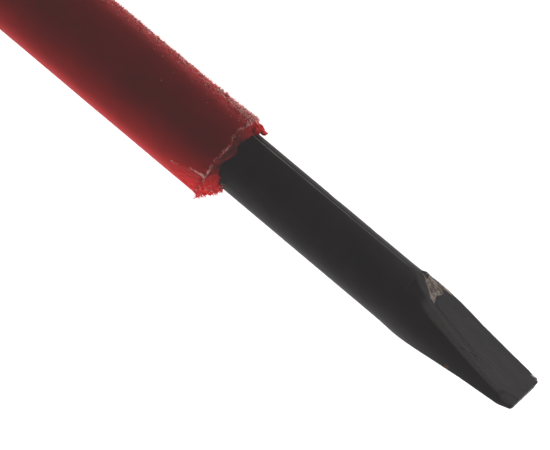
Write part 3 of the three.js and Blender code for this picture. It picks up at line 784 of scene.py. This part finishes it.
def build_sleeve():
    f = 1.0
    s = 0.06 * f
    X = grade([(SLEEVE_REAR - 0.5, -80, 1.5), (-80, -34, 2.5), (-34, -31, 0.5), (-31, -24, 0.085 * f), (-24, -19.6, 0.06 * f), (-19.6, -16.2, s * 0.75)])
    Y = grade([(-2.66, 1.56, s), (1.56, 2.2, s * 0.6)])
    Z = grade([(-2.4, -0.9, s), (-0.9, 0.96, s * 0.7), (0.96, 2.4, s)])
    v, q = surface(sleeve_sdf, X, Y, Z)
    x, y, z = v.T
    yc = y - sleeve_centre(x)
    th = np.arctan2(z, yc)
    xe = sleeve_end(th)
    depth = SLEEVE_R + 0.020 - np.sqrt(yc ** 2 + z * z)
    plus = smooth(0.80, 0.98, np.cos(th))
    # pale where the skin is broken: the outer edge of the torn end, the edge of the slanted tear, the crumbly band; the
    # pale line on the slanted tear's lip is partly a painted highlight
    rim = smooth(0.12, 0.03, np.abs(x - xe + 0.03) + 0.05 * noise(x, y, z, 0.14, 145)) * smooth(0.16, 0.05, depth)
    tear = TEAR[0] * (x + 17.5) + TEAR[1] * yc + TEAR[2] * z - TEAR[3]
    deg = np.degrees(th)
    rim = rim * (0.68 + 0.30 * noise(x, y, z, 0.25, 141) + 0.22 * smooth(16, 6, np.abs(deg - 120))) * (1 - 0.75 * smooth(124, 136, np.abs(deg)))
    # partly painted highlight: the pale line along the slanted tear's lip, strongest near the end
    line = smooth(0.036, 0.008, np.abs(tear + 0.012) + 0.02 * noise(x, y, z, 0.18, 147)) * smooth(0.05, 0.01, depth) * (x > -19.6) * (z > 1.0)
    line = line * np.maximum(0.55 * smooth(0.0, 0.45, noise(x, y, z, 0.3, 143)), (0.85 + 0.2 * noise(x, y, z, 0.12, 146)) * smooth(-18.55, -18.2, x))
    rim = np.maximum(rim, line)
    crumbs = smooth(0.12, 0.0, depth) * (0.75 * smooth(0.84, 1.0, np.cos(th)) * smooth(-31, -24, x) + 0.40 * plus * smooth(-21, -18, x)) * (0.8 + 0.6 * noise(x, y, z, 0.12, 142)) * (x > -32)
    face = smooth(0.02, 0.10, x - xe + 0.02) * (0.20 + 0.10 * noise(x, y, z, 0.3, 144))
    # painted light: the glow of light through the plastic, drawn as brighter red by the tear and the end on the -Y
    # side, at the +Y corner of the end and along both silhouette sides, less towards the top
    painted_glow = np.maximum(smooth(0.05, -0.02, np.abs(np.minimum(tear, 0))) * (x > -19.4), smooth(-0.05, 0.05, x - xe)) * smooth(0.25, 0.75, -np.cos(th))
    painted_glow = np.maximum(painted_glow, smooth(-17.35, -17.15, x) * smooth(0.55, 0.9, np.cos(th)) * 0.9)
    painted_glow = np.maximum(painted_glow, smooth(0.68, 0.95, -np.cos(th)) * smooth(-34, -25, x) * 0.55)
    painted_glow = np.maximum(painted_glow, smooth(0.80, 0.97, np.cos(th)) * smooth(-34, -25, x) * 0.6)
    painted_glow = painted_glow * smooth(1.65, 1.05, z)
    # painted shade on the upper part of the torn end face
    end_face_shade = smooth(-0.02, 0.06, x - xe) * smooth(-0.60, -0.30, np.cos(th)) * smooth(0.85, 0.6, np.cos(th)) * (0.74 + 0.25 * noise(x, y, z, 0.2, 151))
    fleck = smooth(1.3, 0.7, np.sqrt(((x + 18.05 - (z - 0.7) * 0.5) / 0.24) ** 2 + ((z - 0.70) / 0.13) ** 2)) * (y > 1) * 0.9
    fleck = np.maximum(fleck, smooth(1.2, 0.7, np.sqrt(((x + 21.9) / 0.12) ** 2 + ((z - 1.98) / 0.2) ** 2 + ((y - 0.65) / 0.1) ** 2)) * 0.5)
    broken_skin_and_highlight = np.clip(np.maximum(np.maximum(rim, crumbs), np.maximum(face, fleck)), 0, 1)
    faces = q.tolist()
    # whiskers and frayed fibres, rooted in the skin
    rng = np.random.default_rng(7)
    extra = [(whisker([(-17.6, -2.30, 0.30), (-17.50, -2.40, 0.34), (-17.44, -2.50, 0.33), (-17.46, -2.62, 0.30), (-17.52, -2.70, 0.29)], 0.034, 6, 0.45), 0.1, 0.6, 0.35)]
    R_OUT = SLEEVE_R + 0.015
    count = 2000
    for k in range(count):
        kind = rng.random()
        if kind < 0.80:                                   # along the band on the +Y side, denser towards the end
            px = -17.6 - 12.0 * rng.random() ** 2.1
            ang = math.radians(4 + 15 * rng.normal())
            length = 0.05 + 0.11 * rng.random() * (0.5 + 0.5 * (px > -20.5))
        elif kind < 0.92:                                 # the ragged edge on the -Y side
            ang = math.radians(170 + 22 * rng.normal())
            px = float(sleeve_end(np.array(ang))) - 0.02 - 0.05 * rng.random()
            if rng.random() < 0.6:
                px += 0.75 * rng.random()
            length = 0.06 + 0.16 * rng.random()
        else:                                             # the rest of the torn edge
            ang = 2 * math.pi * rng.random()
            px = float(sleeve_end(np.array(ang))) - 0.03
            length = 0.04 + 0.05 * rng.random()
        reach = R_OUT - 0.045 - max(0.0, px - float(sleeve_end(np.array(ang)))) / 0.85
        root = np.array([px, float(sleeve_centre(px)) + reach * math.cos(ang), reach * math.sin(ang)])
        lean = rng.normal(size=3) * np.array([0.9, 0.45, 0.45])
        if kind >= 0.80:
            lean[0] += 1.0
        way = np.array([0, math.cos(ang), math.sin(ang)]) + lean * 0.8
        way /= np.linalg.norm(way)
        bend = np.cross(way, rng.normal(size=3)) * 0.35
        pts = [root, root + way * (0.03 + length * 0.5), root + way * (0.03 + length) + bend * length]
        shade = rng.random()
        # fibre colours: the bright red share is partly a painted glow of light through the thin strands, and the pale
        # share near the end partly a painted highlight
        pale, fibre_glow, dark = (1.0, 0.0, 0.0) if shade < 0.45 + 0.15 * (px > -20) else ((0.2, 0.9, 0.0) if shade < 0.75 else (0.0, 0.0, 0.95))
        if kind >= 0.80:
            pale, fibre_glow, dark = (0.8, 0.3, 0.0) if shade < 0.2 else (0.1, 1.0, 0.0)
        extra.append((whisker(pts, 0.014 + 0.012 * rng.random(), 4), pale, fibre_glow, dark))
    dark = end_face_shade * (x > -32)
    chunks = [(v, broken_skin_and_highlight, painted_glow, dark)]
    base = len(v)
    for (hair, hf), pale, vv_, dk in extra:
        faces += [tuple(i + base for i in f_) for f_ in hf]
        base += len(hair)
        n = len(hair)
        chunks.append((hair, np.full(n, pale), np.full(n, vv_), np.full(n, dk)))
    v, broken_skin_and_highlight, painted_glow, dark = (np.concatenate(c) for c in zip(*chunks))
    o = make_object("insulating_sleeve", v, faces, True, {"broken_skin_and_highlight": broken_skin_and_highlight, "painted_glow": painted_glow, "dark": dark})
    assign(o, sleeve_material())
    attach(o, DRIVER)
    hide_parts("blade_sleeve")
    return o

# ------------------------------------------------------------------ handle
SEG = 240
APO, CORNER = 7.0, 0.37
PROUD = 7.15

def core_profile():
    return [
        (CORE_FRONT, 0), (CORE_FRONT, 3.2), (CORE_FRONT - 0.6, 3.7), (-83.4, 5.2), (-84.0, 5.4), (-84.0, 4.4), (-88.5, 4.4), (-88.5, 5.4),
        (-89.5, 5.0), (-91.0, 4.75), (-91.0, 3.9), (-107.0, 3.9), (-107.0, 4.95), (-108.4, 5.15, 0.97), (-110, 5.5, 0.9), (-111.8, 6.02, 0.78),
        (-113.5, 6.5, 0.65), (-115.6, 6.85, 0.48), (-118, APO, CORNER), (-130, APO, CORNER), (-142, APO, CORNER), (-154, APO, CORNER),
        (-156.3, 6.88, 0.47), (-158.5, 6.6, 0.6), (-160.8, 6.2, 0.82), (-163, 5.8), (CORE_REAR + 0.5, 5.7), (CORE_REAR, 5.2), (CORE_REAR, 0)]

def slot_prism(name, turn, grow, floor, top, crown=0.0, edge=0.18, nu=14, nv=10):
    """The outline of a slot with round ends, for the inlays and their cutters that stand on one flat of the handle: x
    from INLAY_REAR to INLAY_FRONT, grown outwards by grow, returned with the matching points on its centre line and its
    half width, so that rings can run from the centre line outwards and the top can carry ribs."""
    half = 2.4
    r = half + grow
    a, b = INLAY_REAR + half, INLAY_FRONT - half      # centres of the round ends
    n_end, n_side = 28, (170)
    outline, inner = [], []
    for k in range(n_end):
        t = -math.pi / 2 + math.pi * k / n_end
        outline.append((b + r * math.cos(t), r * math.sin(t))); inner.append((b, 0.0))
    for k in range(n_side):
        x = b + (a - b) * k / n_side
        outline.append((x, r)); inner.append((x, 0.0))
    for k in range(n_end):
        t = math.pi / 2 + math.pi * k / n_end
        outline.append((a + r * math.cos(t), r * math.sin(t))); inner.append((a, 0.0))
    for k in range(n_side):
        x = a + (b - a) * k / n_side
        outline.append((x, -r)); inner.append((x, 0.0))
    outline, inner = np.array(outline), np.array(inner)
    return outline, inner, r

def place(points, turn):
    """(x, across, out) on the flat at turn degrees from +Z towards +Y, into x, y, z."""
    x, s, h = points.T
    c, d = math.cos(math.radians(turn)), math.sin(math.radians(turn))
    return np.stack([x, s * c + h * d, -s * d + h * c], 1)

def inlay_cutter(turn):
    outline, inner, r = slot_prism("", turn, 0.04, 0, 0)
    n = len(outline)
    rows = []
    for h in (5.85, 8.5):
        rows.append(np.column_stack([outline, np.full(n, h)]))
    v = np.concatenate(rows)
    faces = [tuple(range(n))[::-1], tuple(range(n, 2 * n))]
    faces += [(k, (k + 1) % n, n + (k + 1) % n, n + k) for k in range(n)]
    o = make_object("cutter", place(v, turn), faces, False)
    fix_normals(o)
    return o

def inlay(name, node, turn):
    """Soft inlay with a rolled edge and a field of low ribs across it that fade out towards its ends."""
    outline, inner, r = slot_prism(name, turn, 0.0, 0, 0)
    n = len(outline)
    lanes = [0.0, 0.12, 0.25, 0.38, 0.5, 0.6, 0.68, 0.75, 0.81, 0.86, 0.90, 0.94, 0.97, 0.99, 1.0]
    top_h = lambda k: PROUD - 0.26 * (1 - np.sqrt(np.maximum(1 - np.clip((k - 0.86) / 0.14, 0, 1) ** 2, 0)))
    rows = []
    for k in lanes:
        p = inner + (outline - inner) * k
        h = np.full(n, float(top_h(np.array(k))))
        x = p[:, 0]
        centre = (INLAY_FRONT + INLAY_REAR) / 2
        field = smooth(14.2, 12.2, np.abs(x - centre)) * smooth(0.86, 0.72, k)
        rib = 0.5 + 0.5 * np.cos((x - centre) * 2 * math.pi / 1.5)
        h = h - field * 0.24 * smooth(0.75, 0.25, rib)
        rows.append(np.column_stack([p, h]))
    rows.append(np.column_stack([outline, np.full(n, 6.4)]))
    rows.append(np.column_stack([outline, np.full(n, 5.92)]))
    v = np.concatenate(rows)
    m = len(rows)
    faces = []
    for i in range(1, m - 1):
        for k in range(n):
            j = (k + 1) % n
            faces.append((i * n + k, i * n + j, (i + 1) * n + j, (i + 1) * n + k))
    # first lane collapses onto the centre line
    for k in range(n):
        j = (k + 1) % n
        faces.append((k, j, n + j, n + k))
    faces.append(tuple((m - 1) * n + k for k in range(n)))
    o = make_object(name, place(v, turn), faces, True)
    bm = bmesh.new()
    bm.from_mesh(o.data)
    bmesh.ops.remove_doubles(bm, verts=bm.verts, dist=1e-8)
    bmesh.ops.dissolve_degenerate(bm, dist=1e-8, edges=bm.edges)
    bmesh.ops.recalc_face_normals(bm, faces=bm.faces)
    bm.to_mesh(o.data)
    bm.free()
    smooth_by_angle(o, 50)
    return o

def build_handle():
    red = hard_plastic("red_hard_plastic", (0.42, 0.0085, 0.0105), (0.52, 0.012, 0.014), 0.26, 1.0, sub=0.12)
    black = hard_plastic("black_hard_plastic", (0.014, 0.014, 0.0145), (0.024, 0.0235, 0.024), 0.34, 11.0)
    soft = soft_rubber()
    steel = turned_metal("turned_steel", (0.42, 0.42, 0.43), (0.58, 0.58, 0.59), 0.22, 3.0)
    brass = turned_metal("turned_brass", (0.55, 0.36, 0.12), (0.70, 0.48, 0.18), 0.25, 5.0)
    nylon = hard_plastic("natural_nylon", (0.66, 0.62, 0.52), (0.74, 0.70, 0.60), 0.4, 21.0, sub=0.2)

    def finish(o, mat, body, slot, *nodes):
        assign(o, mat)
        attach(o, body)
        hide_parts(*nodes)
        return o

    core = lathe("handle_hard_core", core_profile(), SEG, 0.45, 0.22)
    # bores for sleeve, blade and pivot pin, and the pockets of the inlays
    cut(core, lathe("cutter", [(CORE_FRONT + 2, 0), (CORE_FRONT + 2, 2.24), (SLEEVE_REAR - 0.3, 2.24), (SLEEVE_REAR - 0.3, 0)], 72, 40, 0, centre=(-0.25, 0)))
    cut(core, lathe("cutter", [(CORE_FRONT + 2, 0), (CORE_FRONT + 2, 1.54), (BLADE_REAR - 0.3, 1.54), (BLADE_REAR - 0.3, 0)], 60, 60, 0))
    cut(core, lathe("cutter", [(-154.8, 0), (-154.8, 1.04), (CORE_REAR - 1, 1.04), (CORE_REAR - 1, 0)], 48, 20, 0))
    # the pocket of the blade's wings
    outline = [(-95.9, 0), (-97.5, 2.6), (-107.5, 2.6), (-109.1, 0), (-107.5, -2.6), (-97.5, -2.6)]
    verts = [(px, pv * math.sin(FLAT) - t * math.cos(FLAT), pv * math.cos(FLAT) + t * math.sin(FLAT)) for t in (-0.78, 0.78) for px, pv in outline]
    pocket = make_object("cutter", np.array(verts), [tuple(range(6)), tuple(range(11, 5, -1))] + [(k, k + 6, (k + 1) % 6 + 6, (k + 1) % 6) for k in range(6)], False)
    fix_normals(pocket)
    cut(core, pocket)
    for k in range(6):
        cut(core, inlay_cutter(60 * k))
    smooth_by_angle(core, 32)
    finish(core, red, DRIVER, "handle_red", "handle_core")

    g = [(GUARD_FRONT, 4.44), (GUARD_FRONT, 5.45), (-84.45, 6.05, 0.8), (-84.8, 6.72, 0.5), (-85.3, PROUD, 0.42), (-87.1, PROUD, 0.42), (-87.6, 6.72, 0.5),
         (-88.05, 6.05, 0.8), (GUARD_REAR, 5.45), (GUARD_REAR, 4.44)]
    finish(lathe("soft_finger_guard", g, SEG, 0.25, 0.3, closed=True), soft, DRIVER, "soft_grip", "finger_guard")

    p = [(GRIP_FRONT, 3.94), (GRIP_FRONT, 4.62), (-91.5, 4.85)]
    for k in range(12):
        x = -92.6 - k * 1.15
        p += [(x, 4.85), (x - 0.2, 4.62), (x - 0.38, 4.62), (x - 0.58, 4.85)]
    p += [(-106.5, 4.85), (GRIP_REAR, 4.7), (GRIP_REAR, 3.94)]
    finish(lathe("soft_fingertip_grip", p, SEG, 0.2, 0.07, closed=True), soft, DRIVER, "soft_grip", "fingertip_grip")

    for k in range(6):
        # the CAD turns its inlays the other way round from +Z
        node = "grip_inlay_" + str(k + 1)
        lo, hi = node_box(node)
        mid = (lo + hi) / 2
        turn = math.degrees(math.atan2(mid[1], mid[2]))
        finish(inlay("soft_inlay_" + str(k + 1), node, turn), soft, DRIVER, "soft_grip", node)

    pin = [(-155.0, 0), (-155.0, 0.8), (-155.3, 1.0), (-170.6, 1.0), (-170.6, 2.0), (-171.4, 2.0), (-171.7, 1.6), (-171.7, 0)]
    finish(lathe("pivot_pin", pin, 72, 0.5, 0.06), steel, DRIVER, "pin_steel", "cap_pivot_pin")
    finish(lathe("thrust_washer_ring", [(-165.1, 1.05), (-165.1, 3.6), (-165.6, 3.6), (-165.6, 1.05)], 96, 0.3, 0.06, closed=True), nylon, DRIVER, "washer_plastic", "thrust_washer")
    finish(lathe("pin_head_washer_ring", [(-170.1, 1.05), (-170.1, 2.8), (-170.52, 2.8), (-170.52, 1.05)], 96, 0.3, 0.05, closed=True), steel, DRIVER, "pin_steel", "pin_head_washer")
    finish(lathe("cap_bush_ring", [(-165.9, 1.06), (-165.9, 2.2), (-170.0, 2.2), (-170.0, 1.06)], 96, 0.4, 0.06, closed=True), brass, CAP, "bush_brass", "cap_bush")

    def flutes(x, ph, r):
        field = smooth(-167.0, -167.9, x) * smooth(-172.3, -171.2, x) * (r > 5.5)
        wave = 0.5 + 0.5 * np.cos(ph * 30)
        return x, r - field * 0.22 * smooth(0.35, 0.9, wave)
    cap = [(-165.75, 2.24), (-165.75, 5.5), (-166.1, 5.98), (-166.9, 6.38), (-168.2, 6.4), (-171.4, 6.4), (-172.7, 6.26), (-173.7, 5.9), (-174.3, 5.4),
           (-174.5, 4.95), (-174.5, 4.65), (-172.6, 4.65), (-172.6, 3.2), (-170.05, 3.2), (-170.05, 2.24)]
    finish(lathe("palm_cap_shell", cap, 240, 0.22, 0.14, closed=True, shape=flutes), black, CAP, "cap_black", "swivel_cap")
    ins = [(-172.7, 0), (-172.7, 4.55), (-174.2, 4.55), (-174.5, 4.4), (-174.6, 4.1), (-174.42, 3.4), (-174.25, 2.4), (-174.13, 1.2), (-174.1, 0)]
    finish(lathe("palm_cap_disc", ins, 144, 0.25, 0.1), red, CAP, "handle_red", "cap_insert")

# ------------------------------------------------------------------ stage, light, camera
FLOOR_GLOW, SKY_TOP, SKY_HORIZON, CARD = 0.80, 0.035, 1.1, 0.12

def build_stage(lit, sleeve):
    """A pale floor, glowing round the tip, a pale surround, a soft overhead light on the handle, and a dark card beside the blade."""
    me = bpy.data.meshes.new("floor")
    s = 12.0
    z = FLOOR_Z * MM - 0.00002
    me.from_pydata([(-s, -s, z), (s, -s, z), (s, s, z), (-s, s, z)], [], [(0, 1, 2, 3)])
    floor = bpy.data.objects.new("floor", me)
    bpy.context.scene.collection.objects.link(floor)
    m = bpy.data.materials.new("pale_floor")
    m.use_nodes = True
    t = m.node_tree
    b = t.nodes["Principled BSDF"]
    b.inputs["Base Color"].default_value = (0.85, 0.85, 0.85, 1)
    b.inputs["Roughness"].default_value = 0.9
    b.inputs["Specular IOR Level"].default_value = 0.0
    b.inputs["Emission Color"].default_value = (1, 1, 1, 1)
    # a lit panel under the tip, fading to the plain floor round the handle
    geo = t.nodes.new("ShaderNodeNewGeometry")
    sub = t.nodes.new("ShaderNodeVectorMath"); sub.operation = "DISTANCE"
    t.links.new(geo.outputs["Position"], sub.inputs[0])
    sub.inputs[1].default_value = (-0.012, -0.002, z)
    mr = t.nodes.new("ShaderNodeMapRange"); mr.interpolation_type = "SMOOTHSTEP"
    t.links.new(sub.outputs["Value"], mr.inputs[0])
    mr.inputs[1].default_value, mr.inputs[2].default_value = 0.03, 0.14
    mr.inputs[3].default_value, mr.inputs[4].default_value = FLOOR_GLOW, 0.40
    t.links.new(mr.outputs[0], b.inputs["Emission Strength"])
    me.materials.append(m)

    w = bpy.data.worlds.new("studio")
    bpy.context.scene.world = w
    w.use_nodes = True
    t = w.node_tree
    bg = t.nodes["Background"]
    tc = t.nodes.new("ShaderNodeTexCoord")
    sep = t.nodes.new("ShaderNodeSeparateXYZ")
    t.links.new(tc.outputs["Generated"], sep.inputs[0])
    up = t.nodes.new("ShaderNodeMapRange")
    t.links.new(sep.outputs["Z"], up.inputs[0])
    up.inputs[1].default_value, up.inputs[2].default_value = 0.0, 1.0
    up.inputs[3].default_value, up.inputs[4].default_value = 1.0, 0.0
    p = t.nodes.new("ShaderNodeMath"); p.operation = "POWER"
    t.links.new(up.outputs[0], p.inputs[0])
    p.inputs[1].default_value = 4.0
    m2 = t.nodes.new("ShaderNodeMapRange")
    t.links.new(p.outputs[0], m2.inputs[0])
    m2.inputs[3].default_value, m2.inputs[4].default_value = SKY_TOP, SKY_HORIZON
    t.links.new(m2.outputs[0], bg.inputs["Strength"])
    bg.inputs["Color"].default_value = (1, 1, 1, 1)

    # a dark card on the +Y side of the blade, which no view shows
    me = bpy.data.meshes.new("dark_card")
    x0, x1, y0, y1, za, zb = -0.045, -0.0085, 0.0095, 0.0105, z, 0.05
    me.from_pydata([(x, y, h) for x in (x0, x1) for y in (y0, y1) for h in (za, zb)], [],
                   [(0, 1, 3, 2), (4, 6, 7, 5), (0, 4, 5, 1), (2, 3, 7, 6), (0, 2, 6, 4), (1, 5, 7, 3)])
    card = bpy.data.objects.new("dark_card", me)
    bpy.context.scene.collection.objects.link(card)
    m = bpy.data.materials.new("dark_felt")
    m.use_nodes = True
    m.node_tree.nodes["Principled BSDF"].inputs["Base Color"].default_value = (CARD, CARD, CARD, 1)
    m.node_tree.nodes["Principled BSDF"].inputs["Roughness"].default_value = 1.0
    m.node_tree.nodes["Principled BSDF"].inputs["Specular IOR Level"].default_value = 0.0
    me.materials.append(m)
    card.visible_camera = False
    card.visible_shadow = False

    # the overhead softbox lights the floor and the handle, not the blade and its sleeve
    la = bpy.data.lights.new("softbox", "AREA")
    la.shape, la.size, la.size_y, la.energy = "RECTANGLE", 2.0, 2.0, 15.5
    lo = bpy.data.objects.new("softbox", la)
    bpy.context.scene.collection.objects.link(lo)
    lo.location = (-0.12, -0.10, 1.2)
    lo.rotation_euler = (math.radians(-5), 0, 0)
    lo.visible_camera = False
    group = bpy.data.collections.new("lit_by_softbox")
    for o in [floor] + lit:
        group.objects.link(o)
    lo.light_linking.receiver_collection = group

    # two strip boxes give the handle its highlights, one from each side
    handle = bpy.data.collections.new("lit_by_strips")
    for o in lit:
        handle.objects.link(o)
    for name, at, energy, size in (("strip_near", (-0.10, -0.34, 0.26), 0.55, (0.42, 0.05)), ("strip_far", (-0.16, 0.30, 0.30), 0.30, (0.42, 0.05)),
                                   ("strip_rear", (-0.46, -0.05, 0.14), 0.16, (0.10, 0.10))):
        la = bpy.data.lights.new(name, "AREA")
        la.shape, la.size, la.size_y, la.energy = "RECTANGLE", size[0], size[1], energy
        lo = bpy.data.objects.new(name, la)
        bpy.context.scene.collection.objects.link(lo)
        lo.location = at
        lo.rotation_euler = (Vector(at) - Vector((-0.13, 0, 0))).to_track_quat("Z", "X" if name == "strip_rear" else "Y").to_euler()
        lo.visible_camera = False
        lo.light_linking.receiver_collection = handle

    # a small box over the sleeve by the handle, whose beam ends before the blade
    la = bpy.data.lights.new("sleeve_box", "AREA")
    la.shape, la.size, la.size_y, la.energy, la.spread = "RECTANGLE", 0.05, 0.05, 0.006, math.radians(42)
    lo = bpy.data.objects.new("sleeve_box", la)
    bpy.context.scene.collection.objects.link(lo)
    lo.location = (-0.080, -0.012, 0.06)
    lo.rotation_euler = (math.radians(-11), 0, 0)
    lo.visible_camera = False
    sleeve_only = bpy.data.collections.new("lit_by_sleeve_box")
    sleeve_only.objects.link(sleeve)
    lo.light_linking.receiver_collection = sleeve_only

    # a low strip on the +Y side catches the frayed skin from below, and small boxes the torn end's two corners
    for name, at, target, energy, size in (("fringe_strip", (-0.032, 0.0092, -0.0068), (-0.032, 0.0016, 0.0012), 0.0015, (0.036, 0.0025)),
                                           ("tear_box", (-0.0163, -0.0050, 0.0018), (-0.0177, -0.0018, 0.0007), 0.000026, (0.0015, 0.0015)),
                                           ("shred_box", (-0.0165, 0.0062, -0.0008), (-0.0178, 0.0016, 0.0006), 0.00004, (0.002, 0.002))):
        la = bpy.data.lights.new(name, "AREA")
        la.shape, la.size, la.size_y, la.energy = "RECTANGLE", size[0], size[1], energy
        lo = bpy.data.objects.new(name, la)
        bpy.context.scene.collection.objects.link(lo)
        lo.location = at
        lo.rotation_euler = (Vector(at) - Vector(target)).to_track_quat("Z", "Y").to_euler()
        lo.visible_camera = False
        lo.light_linking.receiver_collection = sleeve_only

def build_camera():
    alpha, tilt = math.radians(6.4), math.radians(4.0)
    n = Vector((0, math.sin(tilt), math.cos(tilt)))
    X = Vector((1, 0, 0))
    c = (n * math.cos(alpha) + X * math.sin(alpha)).normalized()
    es = (X * math.cos(alpha) - n * math.sin(alpha)).normalized()
    et = c.cross(es).normalized()
    roll = math.radians(40.0)
    right = es * math.cos(roll) + et * math.sin(roll)
    up = -es * math.sin(roll) + et * math.cos(roll)
    cam = bpy.data.cameras.new("camera")
    o = bpy.data.objects.new("camera", cam)
    bpy.context.scene.collection.objects.link(o)
    cam.lens = 400.0
    cam.sensor_width = 36.0
    width = 550.0 / 21.77 * MM
    dist = width * cam.lens / cam.sensor_width
    look = Vector((-13.84 * MM, 0, 0)) + et * (-1.229 * MM)
    rot = Matrix((right, up, c)).transposed()
    o.matrix_world = Matrix.Translation(look + c * dist) @ rot.to_4x4()
    cam.clip_start, cam.clip_end = 0.01, 20.0
    bpy.context.scene.camera = o
    sc = bpy.context.scene
    sc.view_settings.view_transform = "Standard"
    sc.view_settings.look = "None"
    sc.view_settings.exposure = 0.0
    sc.view_settings.gamma = 1.0
    # the lens's slight haze, which lifts the blacks
    sc.view_settings.use_curve_mapping = True
    cm = sc.view_settings.curve_mapping
    cm.black_level = (-0.0225, -0.0212, -0.0214)
    cm.update()

build_camera()
build_blade()
sleeve = build_sleeve()
before = set(bpy.data.objects)
build_handle()
build_stage([o for o in bpy.data.objects if o not in before], sleeve)
